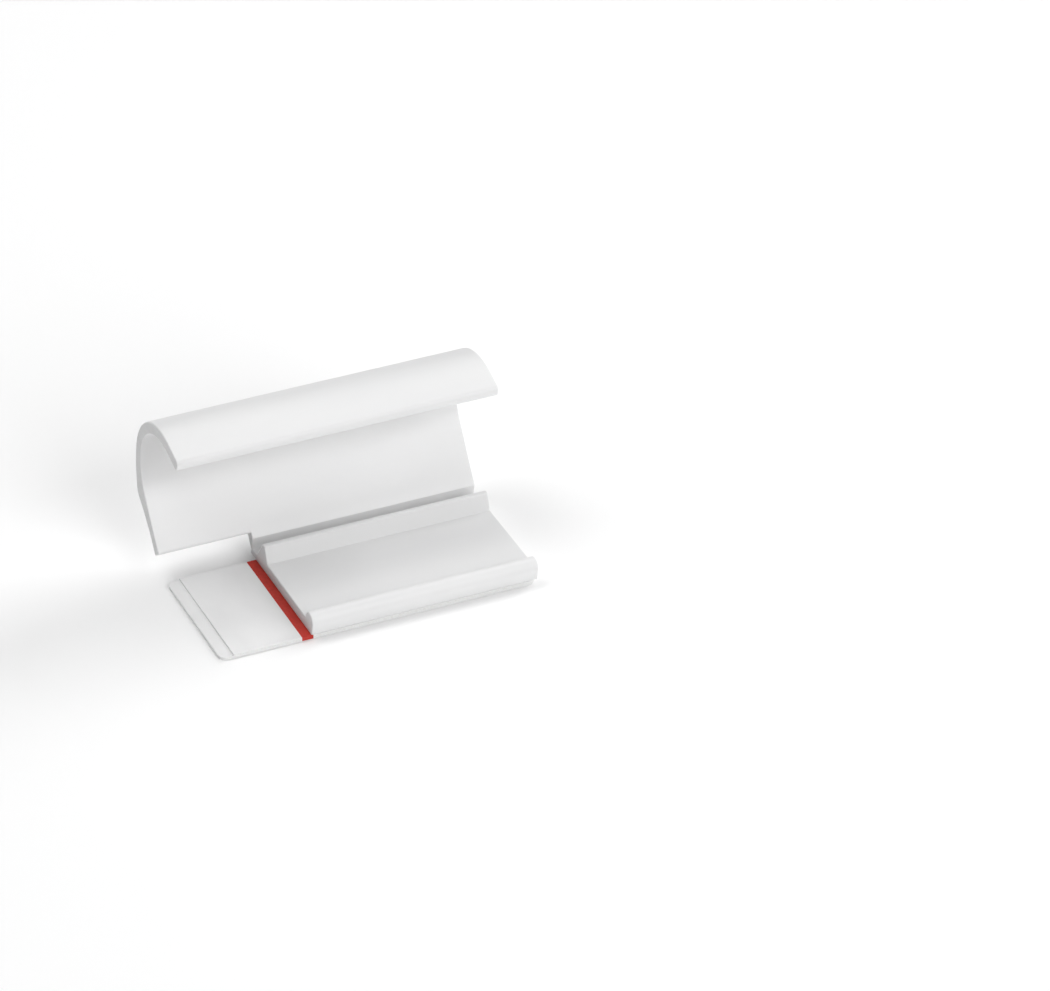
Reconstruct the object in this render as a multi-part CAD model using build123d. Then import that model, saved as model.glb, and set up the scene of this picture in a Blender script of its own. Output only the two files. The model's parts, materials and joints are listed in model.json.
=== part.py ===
from build123d import *
from math import acos, asin, atan2, cos, degrees, hypot, radians, sin, tan
import os

# Snap-shut cable clip on a stretch-release adhesive strip, in millimetres.
# Every section lies in the Y-Z plane and runs along X, the length of the clip.
# Y is 0 at the front edge of the base and grows towards the hinge.
# Z is 0 at the surface that the strip sticks to.
# The cover is drawn shut, then swung open about the hinge, as it is moulded.

# Overall sizes
clip_length = 50.0
notch_length = 14.5        # the base is cut back here, which bares the pull tab
base_depth = 22.95         # front edge to hinge axis
closed_height = 14.95      # top of the crown over the wall when shut
opening_angle = 71.0       # swing of the cover from shut to the moulded position

# Adhesive strip
strip_thickness = 0.7
strip_width = 21.5
tab_setback = 0.5          # the tab ends this far short of the cover
tab_lip_length = 2.0       # thinner lip at the end of the tab
tab_lip_step = 0.2
tab_corner = 1.2

# Base plate, its front bead and the ridge in front of the hinge
floor_thickness = 1.9
bead_radius = 1.3
bead_reach = 0.55          # how far the bead bulges over the front edge
bead_rise = 1.5            # crest of the bead over the floor
bead_root = 0.6            # fillet between the bead and the floor
ridge_height = 2.6         # over the floor
ridge_width = 0.75         # flat top of the ridge
ridge_lean = 20.0          # degrees, of the ridge's inner face
ridge_radius = 0.25

# Cover
cover_wall = 1.85          # crown and lip
crown_radius = 9.0         # inside
heel_rise = 0.85           # hinge axis to the heel, along the flat wall
heel_bulge = 0.15          # the heel stands out past the nose
crease_wall = 3.25         # thickness at the crease
crease_rise = 1.15         # the crease lies this far past the inner flat
crease_radius = 2.5
scoop_radius = 24.0        # hollow of the wall's outer face, heel to crease
shoulder_turn = 42.5       # degrees of the shoulder, from crease to crown
tip_clearance = 0.8        # lip to the mounting surface when shut
tip_radius = 0.7
notch_rise = 0.9           # the wall is cut off this far above its inner corner

# Living hinge, as a round nose in a round seat
hinge_height = 1.95
nose_radius = 0.45
foot_radius = 1.87         # hinge axis to the inner corner of the wall's foot
foot_rise = 4.0            # degrees, of the foot's face away from the hinge when shut

# Clearances and edge breaks
seat_gap = 0.05            # nose in its seat
slit_gap = 0.15            # wall against the ridge when shut
lip_gap = 0.2              # lip in front of the bead when shut
groove_drop = 0.05         # floor of the groove under the hinge axis
seat_lip_gap = 10.0        # degrees, rear end of the seat to the open heel
rear_reach = 0.45          # rear face of the base behind the hinge axis
rear_drop = 0.65           # top of the plain rear face under the hinge axis
rear_radius = 0.2

# Places that follow from the sizes above
base_length = clip_length - notch_length
floor_height = strip_thickness + floor_thickness
crown_outer = crown_radius + cover_wall
hinge = (base_depth, hinge_height)
crown = (crown_radius - bead_reach - lip_gap, closed_height - crown_outer)
right_end = (clip_length - tab_setback) / 2
left_end = right_end - clip_length


def polar(centre, radius, angle):
    """A point at an angle, in degrees, on a circle."""
    turn = radians(angle)
    return (centre[0] + radius * cos(turn), centre[1] + radius * sin(turn))


def touch_angle(centre, radius, point, side):
    """Angle on a circle where a line from an outside point touches it."""
    away = (point[0] - centre[0], point[1] - centre[1])
    bearing = degrees(atan2(away[1], away[0]))
    return bearing + side * degrees(acos(radius / hypot(*away)))


def run_along_x(face, start, length):
    """Extrude a face of the Y-Z plane from one place along X."""
    return Pos(start, 0, 0) * extrude(face, amount=length, dir=(1, 0, 0))


def round_corners(sketch, points, radius):
    """Round the corners of the open sketch that lie at the given points."""
    corners = sketch.vertices()
    fillet([corners.sort_by_distance(point)[0] for point in points], radius)


# The shut wall's inner face runs from the foot until it touches the crown
foot_angle = 180 - foot_rise
foot = polar(hinge, foot_radius, foot_angle)
inner_angle = touch_angle(crown, crown_radius, foot, 1)
inner_touch = polar(crown, crown_radius, inner_angle)


def off_wall(start, along, out):
    """A point off another in the directions of the shut wall: along it, and out."""
    lean = radians(inner_angle)
    return (
        start[0] - along * sin(lean) + out * cos(lean),
        start[1] + along * cos(lean) + out * sin(lean),
    )


heel = off_wall(hinge, heel_rise, nose_radius + heel_bulge)
heel_angle = touch_angle(hinge, nose_radius, heel, -1)


def cover_section():
    """The shut cover: nose, scooped wall, crease, shoulder, crown and lip."""
    nose_in = polar(hinge, nose_radius, foot_angle)
    nose_low = polar(hinge, nose_radius, -90)
    nose_out = polar(hinge, nose_radius, heel_angle)
    crease = off_wall(inner_touch, crease_rise, crease_wall)
    shoulder_angle = inner_angle + shoulder_turn
    shoulder = polar(crown, crown_outer, shoulder_angle)
    slope = polar((0, 0), 1, shoulder_angle - 90)
    tip_out = (crown[0] - crown_outer, tip_clearance)
    tip_in = (crown[0] - crown_radius, tip_clearance)
    with BuildSketch(Plane.YZ) as sketch:
        with BuildLine():
            Line(foot, nose_in)
            ThreePointArc(nose_in, nose_low, nose_out)
            Line(nose_out, heel)
            RadiusArc(heel, crease, scoop_radius)
            TangentArc(shoulder, crease, tangent=slope)
            CenterArc(crown, crown_outer, shoulder_angle, 180 - shoulder_angle)
            Line(polar(crown, crown_outer, 180), tip_out)
            Line(tip_out, tip_in)
            Line(tip_in, polar(crown, crown_radius, 180))
            CenterArc(crown, crown_radius, inner_angle, 180 - inner_angle)
            Line(inner_touch, foot)
        make_face()
        round_corners(sketch, [tip_out, tip_in], tip_radius)
        round_corners(sketch, [crease], crease_radius)
    return sketch.sketch


def base_section():
    """The base: plate, front bead, ridge, hinge groove and seat."""
    # the front face leans out from the underside until it touches the bead
    bead = (bead_radius - bead_reach, floor_height + bead_rise - bead_radius)
    front_foot = (0.0, strip_thickness)
    face_angle = touch_angle(bead, bead_radius, front_foot, -1)
    face_top = polar(bead, bead_radius, face_angle)
    bead_crest = polar(bead, bead_radius, 90)
    bead_foot = polar(bead, bead_radius, degrees(asin((floor_height - bead[1]) / bead_radius)))

    # the ridge's rear face lies along the shut wall, a slit away from it
    run = (foot[0] - inner_touch[0]) / (inner_touch[1] - foot[1])
    ridge_line = foot[0] - slit_gap * hypot(run, 1)
    groove_level = hinge_height - groove_drop
    groove_end = (ridge_line - (groove_level - foot[1]) * run, groove_level)
    ridge_top = floor_height + ridge_height
    ridge_rear = (ridge_line - (ridge_top - foot[1]) * run, ridge_top)
    ridge_front = (ridge_rear[0] - ridge_width, ridge_top)
    ridge_foot = (ridge_front[0] - ridge_height * tan(radians(ridge_lean)), floor_height)

    # the seat is an arc about the hinge axis
    seat_radius = nose_radius + seat_gap
    seat_start_angle = degrees(asin(groove_drop / seat_radius)) - 180
    seat_start = polar(hinge, seat_radius, seat_start_angle)
    seat_lip_angle = heel_angle - opening_angle - seat_lip_gap
    seat_middle = polar(hinge, seat_radius, (seat_start_angle + seat_lip_angle) / 2)
    seat_lip = polar(hinge, seat_radius, seat_lip_angle)
    rear_low = (base_depth + rear_reach, strip_thickness)
    rear_high = (base_depth + rear_reach, hinge_height - rear_drop)
    with BuildSketch(Plane.YZ) as sketch:
        with BuildLine():
            Line(front_foot, face_top)
            ThreePointArc(face_top, bead_crest, bead_foot)
            Polyline(bead_foot, ridge_foot, ridge_front, ridge_rear, groove_end, seat_start)
            ThreePointArc(seat_start, seat_middle, seat_lip)
            Polyline(seat_lip, rear_high, rear_low, front_foot)
        make_face()
        round_corners(sketch, [bead_foot], bead_root)
        round_corners(sketch, [ridge_front, ridge_rear], ridge_radius)
        round_corners(sketch, [rear_high, rear_low], rear_radius)
    return sketch.sketch


def make_cover():
    """The cover as moulded: cut off above the notch, then swung open."""
    reach = 3 * foot_radius
    cut = Box(notch_length, 2 * reach, reach, align=(Align.MIN, Align.CENTER, Align.MIN))
    cut = Pos(left_end, *foot) * Rot(X=inner_angle) * Pos(0, 0, notch_rise - reach) * cut
    solid = run_along_x(cover_section(), left_end, clip_length) - cut
    return Pos(0, *hinge) * Rot(X=-opening_angle) * Pos(0, -hinge[0], -hinge[1]) * solid


def make_base():
    """The base plate, which stops short of the cover at the notch."""
    return run_along_x(base_section(), left_end + notch_length, base_length)


def make_strip():
    """The adhesive strip, with a rounded pull tab and a thinner lip."""
    length = clip_length - tab_setback
    strip = extrude(RectangleRounded(length, strip_width, tab_corner), amount=strip_thickness)
    lip = Box(tab_lip_length, strip_width, tab_lip_step, align=(Align.MIN, Align.CENTER, Align.MAX))
    return strip - Pos(-length / 2, 0, strip_thickness) * lip


def main():
    os.makedirs("parts", exist_ok=True)
    to_middle = Pos(0, -strip_width / 2, 0)
    export_step(to_middle * make_base(), "parts/clip_base.step")
    export_step(to_middle * make_cover(), "parts/clip_cover.step")
    export_step(make_strip(), "parts/adhesive_strip.step")


main()
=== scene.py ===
import bpy
import bmesh
import json
from math import acos, ceil, cos, degrees, hypot, pi, radians, sin, tan
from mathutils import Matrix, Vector

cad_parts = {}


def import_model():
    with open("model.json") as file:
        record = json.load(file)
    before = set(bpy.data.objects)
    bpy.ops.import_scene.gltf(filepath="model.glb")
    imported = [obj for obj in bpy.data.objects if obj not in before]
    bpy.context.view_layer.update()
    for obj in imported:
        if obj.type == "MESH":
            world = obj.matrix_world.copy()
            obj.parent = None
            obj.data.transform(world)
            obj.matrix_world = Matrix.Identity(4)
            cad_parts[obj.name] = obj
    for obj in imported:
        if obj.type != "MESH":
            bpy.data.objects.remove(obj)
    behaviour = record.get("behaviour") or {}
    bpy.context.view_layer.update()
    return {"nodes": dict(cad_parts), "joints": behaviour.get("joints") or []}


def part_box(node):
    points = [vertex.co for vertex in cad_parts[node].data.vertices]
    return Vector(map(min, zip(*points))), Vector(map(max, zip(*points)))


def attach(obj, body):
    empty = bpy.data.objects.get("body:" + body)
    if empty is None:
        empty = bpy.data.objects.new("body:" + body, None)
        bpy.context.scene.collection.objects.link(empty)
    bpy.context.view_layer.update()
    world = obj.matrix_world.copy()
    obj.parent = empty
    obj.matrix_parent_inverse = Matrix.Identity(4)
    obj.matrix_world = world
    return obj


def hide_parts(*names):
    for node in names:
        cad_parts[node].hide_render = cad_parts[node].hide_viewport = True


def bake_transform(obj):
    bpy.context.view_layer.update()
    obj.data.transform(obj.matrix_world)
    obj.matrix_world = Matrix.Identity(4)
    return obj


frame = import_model()
MM = 0.001
FACE_WEIGHT = 90            # over 50, large faces count for more in the shading

# Tolerances
SAME = 1e-7                 # nearer points are one point
ON_END = 1e-6               # nearer points lie on the end face
TINY = 1e-12                # stands for no length where it divides

# The moulding
EDGE = 0.16 * MM            # rounding of its edges
RIM_TURNS = (pi / 8, pi / 4, 3 * pi / 8, pi / 2)    # steps of a rounded rim
RINGS = 6 * MM              # spacing of the rings along the clip
CUT_END_PAINTED_SHADE = 1                     # material of the flat end faces, darkened with painted shade

# Corners of the section
CORNER = 0.2 * MM           # their rounding
CORNER_FROM = 12            # degrees, a smaller turn is part of a curve
CORNER_STEP = 9             # most degrees of a corner's arc in one step
SETBACK_SHARE = 0.4         # a corner takes at most this much of a side
MITRE = 1.6                 # longest shift of a corner when inset, in depths
LONG_RUN = 1.2 * MM         # longer runs of an outline get guard points
GUARD = 0.12 * MM           # from a rounded corner
SHARP_GUARD = 0.4 * MM      # from a sharp corner, past the rounding of the rim

# Living hinge
SEAT_REACH = 0.52 * MM      # what lies nearer to the axis is the seat's arc
NOSE_REACH = 0.47 * MM      # or the nose's, and the web takes its place
LINE_FRONT = 0.05 * MM      # shallow line behind the web, from its middle
LINE_DROP = 0.36 * MM       # and from the axis
LINE_STEPS = 4
ROOT_FRONT = 0.12 * MM      # rounded root inside the web, from the axis
ROOT_DROP = 0.03 * MM
ROOT_STEPS = 6
HEEL_SHARES = (0.2, 0.4, 0.6, 0.8)      # points added beside the web, where it bends
FOOT_SHARES = (0.25, 0.5, 0.75, 0.9)

# Cut of the wall over the notch
CUT_SHARES = (0.14, 0.26, 0.74, 0.86)
EASE = 0.05 * MM            # easing of the cut's two edges, and its run along the clip
EASE_RUN = 0.1 * MM


def end_outline(node, side):
    """A node's flat end face as an ordered, anticlockwise list of (y, z)."""
    mesh = bmesh.new()
    mesh.from_mesh(frame["nodes"][node].data)
    bmesh.ops.remove_doubles(mesh, verts=mesh.verts, dist=SAME)
    end = max(v.co.x * side for v in mesh.verts)
    cap = {f for f in mesh.faces if all(abs(v.co.x * side - end) < ON_END for v in f.verts)}
    follow = {}
    for face in cap:
        for loop in face.loops:
            if sum(f in cap for f in loop.edge.link_faces) == 1:
                follow[loop.vert.index] = (loop.link_loop_next.vert.index, loop.vert.co.copy())
    start = next(iter(follow))
    at, points = start, []
    while True:
        at, co = follow[at]
        points.append((co.y, co.z))
        if at == start:
            break
    mesh.free()
    if area(points) < 0:
        points.reverse()
    return points, end * side


def area(points):
    """Signed area of a closed outline."""
    total = 0.0
    for (y0, z0), (y1, z1) in zip(points, points[1:] + points[:1]):
        total += y0 * z1 - y1 * z0
    return total / 2


def without_arc(points, centre, radius):
    """The outline cut open: it starts and ends at the ends of an arc about centre."""
    near = [hypot(y - centre[0], z - centre[1]) < radius for y, z in points]
    count = len(points)
    first = next(i for i in range(count) if near[i - 1] and not near[i])
    run = [(first + i) % count for i in range(count)]
    far = [points[i] for i in run if not near[i]]
    return [points[first - 1]] + far + [points[(run[len(far) - 1] + 1) % count]]


def along(a, b, shares):
    """Points between two others, at shares of the way."""
    return [(a[0] + (b[0] - a[0]) * t, a[1] + (b[1] - a[1]) * t) for t in shares]


def curve(p0, control, p1, steps):
    """Points inside a quadratic curve from p0 to p1."""
    out = []
    for i in range(1, steps):
        t = i / steps
        a, b, c = (1 - t) ** 2, 2 * t * (1 - t), t * t
        y = a * p0[0] + b * control[0] + c * p1[0]
        z = a * p0[1] + b * control[1] + c * p1[1]
        out.append((y, z))
    return out


def insert_on(points, point):
    """The outline with a point added on the run that it lies on."""
    best, place = None, 0
    for i, (a, b) in enumerate(zip(points, points[1:] + points[:1])):
        run = (b[0] - a[0], b[1] - a[1])
        length = hypot(*run) or TINY
        t = ((point[0] - a[0]) * run[0] + (point[1] - a[1]) * run[1]) / length**2
        t = max(0.0, min(1.0, t))
        away = hypot(a[0] + t * run[0] - point[0], a[1] + t * run[1] - point[1])
        if best is None or away < best:
            best, place = away, i
    return points[:place + 1] + [point] + points[place + 1:]


def soften(points, keep):
    """Each corner of a closed outline but those to keep becomes an arc, then guard points."""
    out = []
    count = len(points)
    for i in range(count):
        a, p, b = points[i - 1], points[i], points[(i + 1) % count]
        before, after = (a[0] - p[0], a[1] - p[1]), (b[0] - p[0], b[1] - p[1])
        lb, la = hypot(*before), hypot(*after)
        if lb < SAME or la < SAME:
            continue
        ub, ua = (before[0] / lb, before[1] / lb), (after[0] / la, after[1] / la)
        turn = pi - acos(max(-1.0, min(1.0, ub[0] * ua[0] + ub[1] * ua[1])))
        if p in keep or degrees(turn) < CORNER_FROM:
            out.append(p)
            continue
        setback = min(CORNER * tan(turn / 2), SETBACK_SHARE * lb, SETBACK_SHARE * la)
        out.extend(arc(p, ub, ua, turn, setback))
    return guarded(out, keep)


def arc(corner, ub, ua, turn, setback):
    """Points of the arc that rounds a corner, given the unit directions of its sides."""
    round_radius = setback / tan(turn / 2)
    middle = (ub[0] + ua[0], ub[1] + ua[1])
    size = hypot(*middle)
    middle = (middle[0] / size, middle[1] / size)
    reach = round_radius / cos(turn / 2)
    centre = (corner[0] + middle[0] * reach, corner[1] + middle[1] * reach)
    side = 1 if ub[0] * ua[1] - ub[1] * ua[0] < 0 else -1
    steps = max(2, ceil(degrees(turn) / CORNER_STEP))
    out = []
    for k in range(steps + 1):
        t = side * turn * (k / steps - 0.5)
        y, z = -middle[0] * round_radius, -middle[1] * round_radius
        out.append((centre[0] + y * cos(t) - z * sin(t), centre[1] + y * sin(t) + z * cos(t)))
    return out


def guarded(points, keep):
    """Guard points near both ends of each long run keep the shading of flats flat."""
    out = []
    for a, b in zip(points, points[1:] + points[:1]):
        out.append(a)
        length = hypot(b[0] - a[0], b[1] - a[1])
        if length > LONG_RUN:
            first, last = (SHARP_GUARD if end in keep else GUARD for end in (a, b))
            out.extend(along(a, b, (first / length, 1 - last / length)))
    return out


def inset(points, depth):
    """The outline moved inwards by a depth along its mitred normals."""
    out = []
    count = len(points)
    for i in range(count):
        a, p, b = points[i - 1], points[i], points[(i + 1) % count]
        n0, n1 = (a[1] - p[1], p[0] - a[0]), (p[1] - b[1], b[0] - p[0])
        l0, l1 = hypot(*n0) or TINY, hypot(*n1) or TINY
        n = (n0[0] / l0 + n1[0] / l1, n0[1] / l0 + n1[1] / l1)
        size = hypot(*n) or TINY
        mitre = min(MITRE, 2 / size)
        out.append((p[0] + n[0] / size * depth * mitre, p[1] + n[1] / size * depth * mitre))
    return out


def stations(x0, x1):
    """Ring places between two ends, both included."""
    steps = max(1, ceil(abs(x1 - x0) / RINGS))
    return [x0 + (x1 - x0) * i / steps for i in range(steps + 1)]


def put_ring(mesh, points, x):
    """Vertices of an outline at one place along the clip."""
    return [mesh.verts.new((x, y, z)) for y, z in points]


def skin(mesh, ring_a, ring_b):
    """Faces between two closed rings of as many vertices."""
    for i in range(len(ring_a)):
        j = (i + 1) % len(ring_a)
        mesh.faces.new((ring_a[i], ring_a[j], ring_b[j], ring_b[i]))


def run_rings(mesh, ring, points, places):
    """Goes on from a ring to the last of several places."""
    for x in places:
        ring_next = put_ring(mesh, points, x)
        skin(mesh, ring, ring_next)
        ring = ring_next
    return ring


def rounded_end(mesh, ring, points, x, side):
    """Closes a run of rings with a rounded rim and a flat face."""
    rims = [(EDGE * (1 - cos(t)), EDGE * sin(t)) for t in RIM_TURNS]
    for depth, reach in rims:
        ring = run_rings(mesh, ring, inset(points, depth), [x + side * reach])
    # the flat end face takes the second material, whose darker grey is painted shade
    mesh.faces.new(ring).material_index = CUT_END_PAINTED_SHADE


def whole_section(base, cover, cut):
    """The section of base, web and cover, and the two points where the notch cuts the wall."""
    hinge = frame["joints"][0]["pos_m"][1:]
    base = without_arc(base, hinge, SEAT_REACH)
    cover = without_arc(cover, hinge, NOSE_REACH)
    line = ((base[-1][0] + cover[0][0]) / 2 - LINE_FRONT, hinge[1] - LINE_DROP)
    root = (hinge[0] - ROOT_FRONT, hinge[1] - ROOT_DROP)
    behind = curve(base[-1], line, cover[0], LINE_STEPS)
    heel = along(cover[0], cover[1], HEEL_SHARES)
    foot = along(cover[-2], cover[-1], FOOT_SHARES)
    inside = curve(cover[-1], root, base[0], ROOT_STEPS)
    full = base + behind + cover[:1] + heel + cover[1:-1] + foot + cover[-1:] + inside
    ends = sorted(cut, key=lambda p: hypot(p[0] - hinge[0], p[1] - hinge[1]))[:2]
    for end in ends:
        full = insert_on(full, end)
    full = soften(full, ends)
    outer, inner = sorted(full.index(end) for end in ends)
    return full, outer, inner


def end_at_notch(mesh, ring, full, outer, inner, notch):
    """Under the cut the section ends in a rounded rim. Returns the wall's ring and points."""
    under = set(range(inner + 1, len(full))) | set(range(outer))
    for t in RIM_TURNS:
        small = inset(full, EDGE * (1 - cos(t)))
        mixed = [small[i] if i in under else full[i] for i in range(len(full))]
        ring = run_rings(mesh, ring, mixed, [notch + EDGE - EDGE * sin(t)])
    cut_points = along(full[inner], full[outer], CUT_SHARES)
    cut_ring = put_ring(mesh, cut_points, notch)
    # the flat end face takes the second material, whose darker grey is painted shade
    mesh.faces.new(ring[inner:] + ring[:outer + 1] + cut_ring[::-1]).material_index = CUT_END_PAINTED_SHADE
    return ring[outer:inner + 1] + cut_ring, full[outer:inner + 1] + cut_points


def moulding():
    """The base and cover as the one moulding that they are, with a bending web."""
    base, right = end_outline("clip_base", 1)
    cover, right = end_outline("clip_cover", 1)
    cut, left = end_outline("clip_cover", -1)
    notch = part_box("clip_base")[0][0]
    full, outer, inner = whole_section(base, cover, cut)
    mesh = bmesh.new()
    places = stations(right - EDGE, notch + EDGE)
    first = put_ring(mesh, full, places[0])
    ring = run_rings(mesh, first, full, places[1:])
    rounded_end(mesh, first, full, right - EDGE, 1)
    ring, wall = end_at_notch(mesh, ring, full, outer, inner, notch)

    # past the notch only the wall goes on, with the cut's edges eased
    small = inset(wall, EASE)
    edges = (0, inner - outer)
    eased = [small[i] if i in edges else wall[i] for i in range(len(wall))]
    places = stations(notch - EASE_RUN, left + EDGE)
    ring = run_rings(mesh, ring, eased, places)
    rounded_end(mesh, ring, eased, left + EDGE, -1)
    return finished(mesh, "clip_moulding")


def finished(mesh, name):
    """A smooth shaded object from a bmesh, with normals weighted by face size."""
    bmesh.ops.recalc_face_normals(mesh, faces=mesh.faces)
    data = bpy.data.meshes.new(name)
    mesh.to_mesh(data)
    mesh.free()
    for face in data.polygons:
        face.use_smooth = True
    piece = bpy.data.objects.new(name, data)
    bpy.context.scene.collection.objects.link(piece)
    weigh = piece.modifiers.new("weigh", "WEIGHTED_NORMAL")
    weigh.mode = "FACE_AREA"
    weigh.weight = FACE_WEIGHT
    return piece


# The adhesive strip

BAND = 1.45 * MM            # printed band beside the base
TUCK = 0.3 * MM             # its run under the base
FILM = 0.09 * MM            # film on both sides of the foam
STRIP_EDGE = 0.05 * MM      # easing of its edges
FLAT_TURN = radians(1)      # flatter edges between faces are dissolved
SHARP_TURN = radians(40)    # sharper ones are eased
UPRIGHT = 0.3               # an upright face's normal rises less than this
FOAM, RED = 1, 2            # materials after the film


def bisect(mesh, place, normal):
    """New edges where a plane crosses the mesh."""
    whole = list(mesh.verts) + list(mesh.edges) + list(mesh.faces)
    bmesh.ops.bisect_plane(mesh, geom=whole, plane_co=place, plane_no=normal)


def strip():
    """The strip from its solid: eased edges, its printed band and its film edges."""
    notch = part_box("clip_base")[0][0]
    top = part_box("adhesive_strip")[1][2]
    mesh = bmesh.new()
    mesh.from_mesh(frame["nodes"]["adhesive_strip"].data)
    bmesh.ops.remove_doubles(mesh, verts=mesh.verts, dist=SAME)
    bmesh.ops.dissolve_limit(mesh, angle_limit=FLAT_TURN, verts=mesh.verts, edges=mesh.edges)
    sharp = [e for e in mesh.edges if e.is_manifold and e.calc_face_angle() > SHARP_TURN]
    bmesh.ops.bevel(mesh, geom=sharp, offset=STRIP_EDGE, segments=2, profile=0.5, affect="EDGES")
    for x in (notch - BAND, notch + TUCK):
        bisect(mesh, (x, 0, 0), (1, 0, 0))
    for z in (FILM, top - FILM):
        bisect(mesh, (0, 0, z), (0, 0, 1))
    for face in mesh.faces:
        middle = face.calc_center_median()
        if notch - BAND < middle.x < notch + TUCK and middle.z > FILM:
            face.material_index = RED
        elif abs(face.normal.z) < UPRIGHT and FILM < middle.z < top - FILM:
            face.material_index = FOAM
    return finished(mesh, "adhesive_strip_dressed")


# Materials

NOISE_LOW, NOISE_HIGH = 0.3, 0.7    # a noise's values mostly lie between these


def material(name, colour, roughness):
    """A principled material and its shader."""
    made = bpy.data.materials.new(name)
    made.use_nodes = True
    nodes = made.node_tree.nodes
    shader = nodes["Principled BSDF"]
    shader.inputs["Base Color"].default_value = (*colour, 1)
    shader.inputs["Roughness"].default_value = roughness
    return made, shader


def link(made, a, b):
    """Joins two sockets of a material."""
    made.node_tree.links.new(a, b)


def noise(made, scale, detail, stretch=(1, 1, 1)):
    """Noise over the piece's own coordinates, in metres."""
    nodes = made.node_tree.nodes
    place = nodes.new("ShaderNodeTexCoord")
    mapping = nodes.new("ShaderNodeMapping")
    mapping.inputs["Scale"].default_value = stretch
    grain = nodes.new("ShaderNodeTexNoise")
    grain.inputs["Scale"].default_value = scale
    grain.inputs["Detail"].default_value = detail
    link(made, place.outputs["Object"], mapping.inputs["Vector"])
    link(made, mapping.outputs["Vector"], grain.inputs["Vector"])
    return grain.outputs["Fac"]


def spread(made, source, low, high):
    """Maps the middle of a noise's range to low and high."""
    between = made.node_tree.nodes.new("ShaderNodeMapRange")
    between.inputs["From Min"].default_value = NOISE_LOW
    between.inputs["From Max"].default_value = NOISE_HIGH
    between.inputs["To Min"].default_value = low
    between.inputs["To Max"].default_value = high
    link(made, source, between.inputs["Value"])
    return between.outputs["Result"]


def tint(made, shader, source, dark, light):
    """Colours that vary between two by a noise."""
    ramp = made.node_tree.nodes.new("ShaderNodeValToRGB")
    ramp.color_ramp.elements[0].position = NOISE_LOW
    ramp.color_ramp.elements[0].color = (*dark, 1)
    ramp.color_ramp.elements[1].position = NOISE_HIGH
    ramp.color_ramp.elements[1].color = (*light, 1)
    link(made, source, ramp.inputs["Fac"])
    link(made, ramp.outputs["Color"], shader.inputs["Base Color"])


def bump(made, shader, heights):
    """Stacked bumps: (height source, depth in metres)."""
    last = None
    for source, depth in heights:
        node = made.node_tree.nodes.new("ShaderNodeBump")
        node.inputs["Distance"].default_value = depth
        node.inputs["Strength"].default_value = 1.0
        link(made, source, node.inputs["Height"])
        if last:
            link(made, last, node.inputs["Normal"])
        last = node.outputs["Normal"]
    link(made, last, shader.inputs["Normal"])


def let_light_in(shader):
    """A little light scatters under the plastic's surface."""
    shader.inputs["Subsurface Weight"].default_value = 0.12
    shader.inputs["Subsurface Radius"].default_value = (1.0, 1.0, 1.0)
    shader.inputs["Subsurface Scale"].default_value = 0.9 * MM


def clip_plastic():
    """Smooth white moulding: satin skin, faint flow marks along the clip."""
    made, shader = material("clip_plastic_satin", (0.80, 0.80, 0.80), 0.4)
    flow = noise(made, 90, 3, (0.35, 1.4, 1.4))
    skin_grain = noise(made, 5200, 2)
    tint(made, shader, flow, (0.775, 0.776, 0.78), (0.805, 0.805, 0.805))
    link(made, spread(made, flow, 0.36, 0.46), shader.inputs["Roughness"])
    bump(made, shader, [(flow, 0.008 * MM), (skin_grain, 0.0012 * MM)])
    let_light_in(shader)
    shader.inputs["Specular IOR Level"].default_value = 0.45
    return made


def clip_cut_painted_shade():
    """The flat ends of the moulding, where it is cut to length: duller, with fine cut marks, and
    a darker grey that is painted shade on these ends.
    """
    # painted shade: a darker grey than the moulding's own, standing for the shade on the end
    # faces
    made, shader = material("clip_plastic_cut_painted_shade", (0.70, 0.70, 0.70), 0.6)
    marks = noise(made, 2600, 3, (1, 0.12, 1))
    # the marks' tint keeps the darker grey of the painted shade
    tint(made, shader, marks, (0.67, 0.672, 0.675), (0.715, 0.716, 0.718))
    link(made, spread(made, marks, 0.54, 0.68), shader.inputs["Roughness"])
    bump(made, shader, [(marks, 0.004 * MM)])
    let_light_in(shader)
    shader.inputs["Specular IOR Level"].default_value = 0.35
    return made


def strip_film():
    """Pale film with a slight ripple."""
    made, shader = material("strip_film", (0.83, 0.83, 0.83), 0.34)
    ripple = noise(made, 260, 2, (1, 0.5, 1))
    fine = noise(made, 3800, 2)
    tint(made, shader, ripple, (0.81, 0.81, 0.813), (0.85, 0.85, 0.85))
    link(made, spread(made, ripple, 0.28, 0.4), shader.inputs["Roughness"])
    bump(made, shader, [(ripple, 0.02 * MM), (fine, 0.001 * MM)])
    return made


def strip_foam():
    """Open edge of the foam between its films."""
    made, shader = material("strip_foam_edge", (0.84, 0.84, 0.83), 0.85)
    cells = noise(made, 9000, 3)
    tint(made, shader, cells, (0.74, 0.74, 0.73), (0.88, 0.88, 0.875))
    bump(made, shader, [(cells, 0.03 * MM)])
    return made


def strip_red():
    """Red print on the film."""
    made, shader = material("strip_red_print", (0.535, 0.034, 0.02), 0.5)
    patch = noise(made, 1400, 2)
    tint(made, shader, patch, (0.48, 0.028, 0.016), (0.59, 0.04, 0.024))
    bump(made, shader, [(patch, 0.002 * MM)])
    shader.inputs["Specular IOR Level"].default_value = 0.35
    return made


# The object

clip = moulding()
# the second material paints shade on the flat end faces
for made in (clip_plastic(), clip_cut_painted_shade()):
    clip.data.materials.append(made)
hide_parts("clip_base", "clip_cover")
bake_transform(clip)

tape = strip()
for made in (strip_film(), strip_foam(), strip_red()):
    tape.data.materials.append(made)
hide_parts("adhesive_strip")
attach(tape, "base")


# Floor, light and camera

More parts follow.
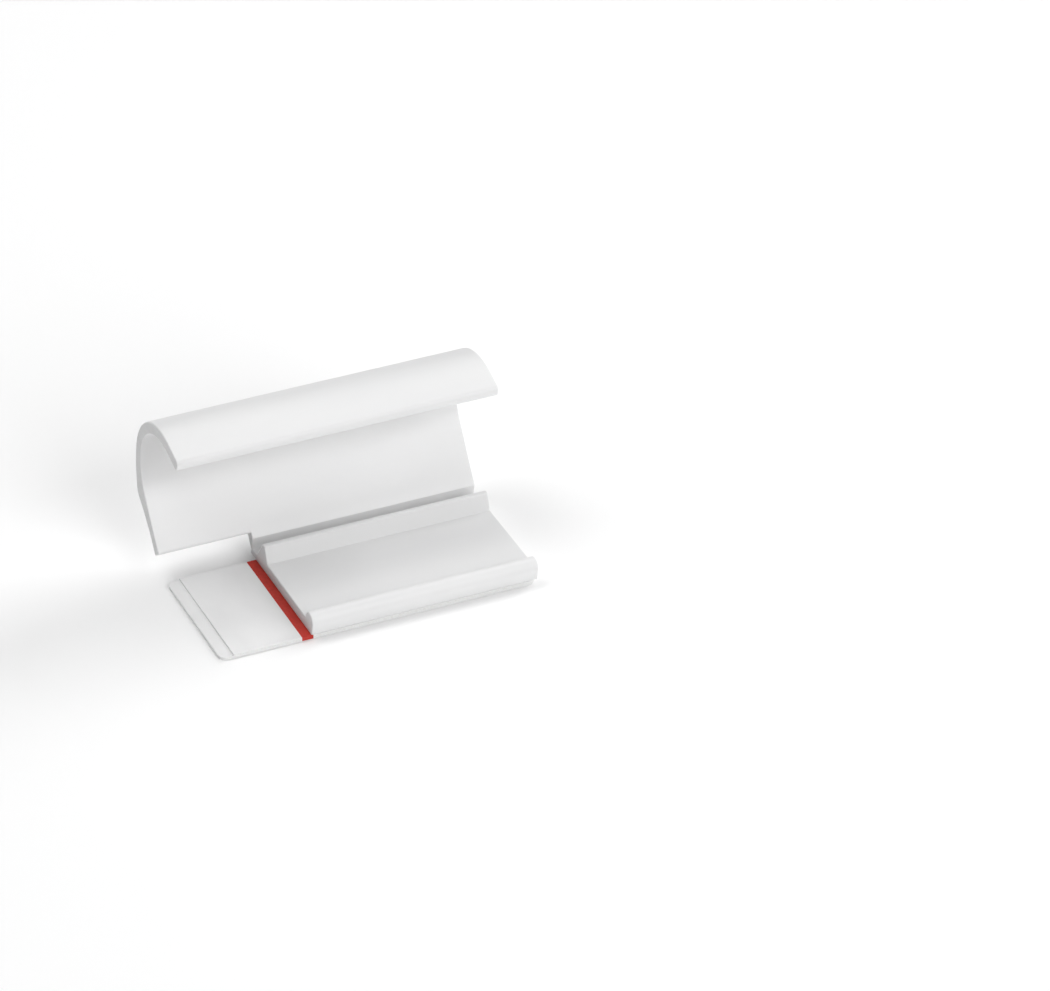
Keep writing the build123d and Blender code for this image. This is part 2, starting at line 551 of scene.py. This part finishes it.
FLOOR_REACH = 4.0           # metres from the middle to each side
FLOOR_LEVEL = -0.02 * MM
WORLD = 0.12
LIGHTS = (                  # name, place, size in metres and power in watts
    ("front", (0.20, -0.75, 0.45), 0.5, 4.5),
    ("side", (0.75, 0.20, 0.45), 0.5, 3.9),
    ("back_left", (-0.39, 0.23, 0.78), 0.6, 3.3),
    ("back_right", (0.23, 0.39, 0.78), 0.6, 1.5),
)
CAMERA_TURN = radians(-24.05)
CAMERA_RISE = radians(33.03)
CAMERA_AIM = (32.72, 11.40, 0.0)    # millimetres
CAMERA_AWAY = 896.1                 # millimetres from there
CAMERA_LENS = 206.2                 # for a sensor of 36 mm


def floor():
    """A wide pale floor."""
    signs = ((-1, -1), (1, -1), (1, 1), (-1, 1))
    corners = [(x * FLOOR_REACH, y * FLOOR_REACH, FLOOR_LEVEL) for x, y in signs]
    data = bpy.data.meshes.new("floor")
    data.from_pydata(corners, [], [(0, 1, 2, 3)])
    piece = bpy.data.objects.new("floor", data)
    made, shader = material("floor_pale", (0.97, 0.97, 0.97), 0.9)
    shader.inputs["Specular IOR Level"].default_value = 0.2
    data.materials.append(made)
    bpy.context.scene.collection.objects.link(piece)


def area_light(name, place, size, power):
    """A square soft light that looks at the object's origin."""
    data = bpy.data.lights.new(name, "AREA")
    data.size = size
    data.energy = power
    lamp = bpy.data.objects.new(name, data)
    lamp.location = place
    lamp.rotation_mode = "QUATERNION"
    lamp.rotation_quaternion = (-Vector(place)).to_track_quat("-Z", "Y")
    bpy.context.scene.collection.objects.link(lamp)


def camera():
    """The photograph's view."""
    level = cos(CAMERA_RISE)
    away = Vector((sin(CAMERA_TURN) * level, -cos(CAMERA_TURN) * level, sin(CAMERA_RISE)))
    aim = Vector(CAMERA_AIM) * MM
    data = bpy.data.cameras.new("camera")
    data.sensor_width = 36
    data.lens = CAMERA_LENS
    data.clip_start, data.clip_end = 0.01, 20
    eye = bpy.data.objects.new("camera", data)
    eye.location = aim + away * CAMERA_AWAY * MM
    eye.rotation_mode = "QUATERNION"
    eye.rotation_quaternion = away.to_track_quat("Z", "Y")
    bpy.context.scene.collection.objects.link(eye)
    bpy.context.scene.camera = eye


def world():
    """Even white light from all round."""
    sky = bpy.data.worlds.new("studio")
    sky.use_nodes = True
    sky.node_tree.nodes["Background"].inputs["Color"].default_value = (1, 1, 1, 1)
    sky.node_tree.nodes["Background"].inputs["Strength"].default_value = WORLD
    bpy.context.scene.world = sky


floor()
world()
for light in LIGHTS:
    area_light(*light)
camera()
bpy.context.scene.view_settings.view_transform = "Standard"
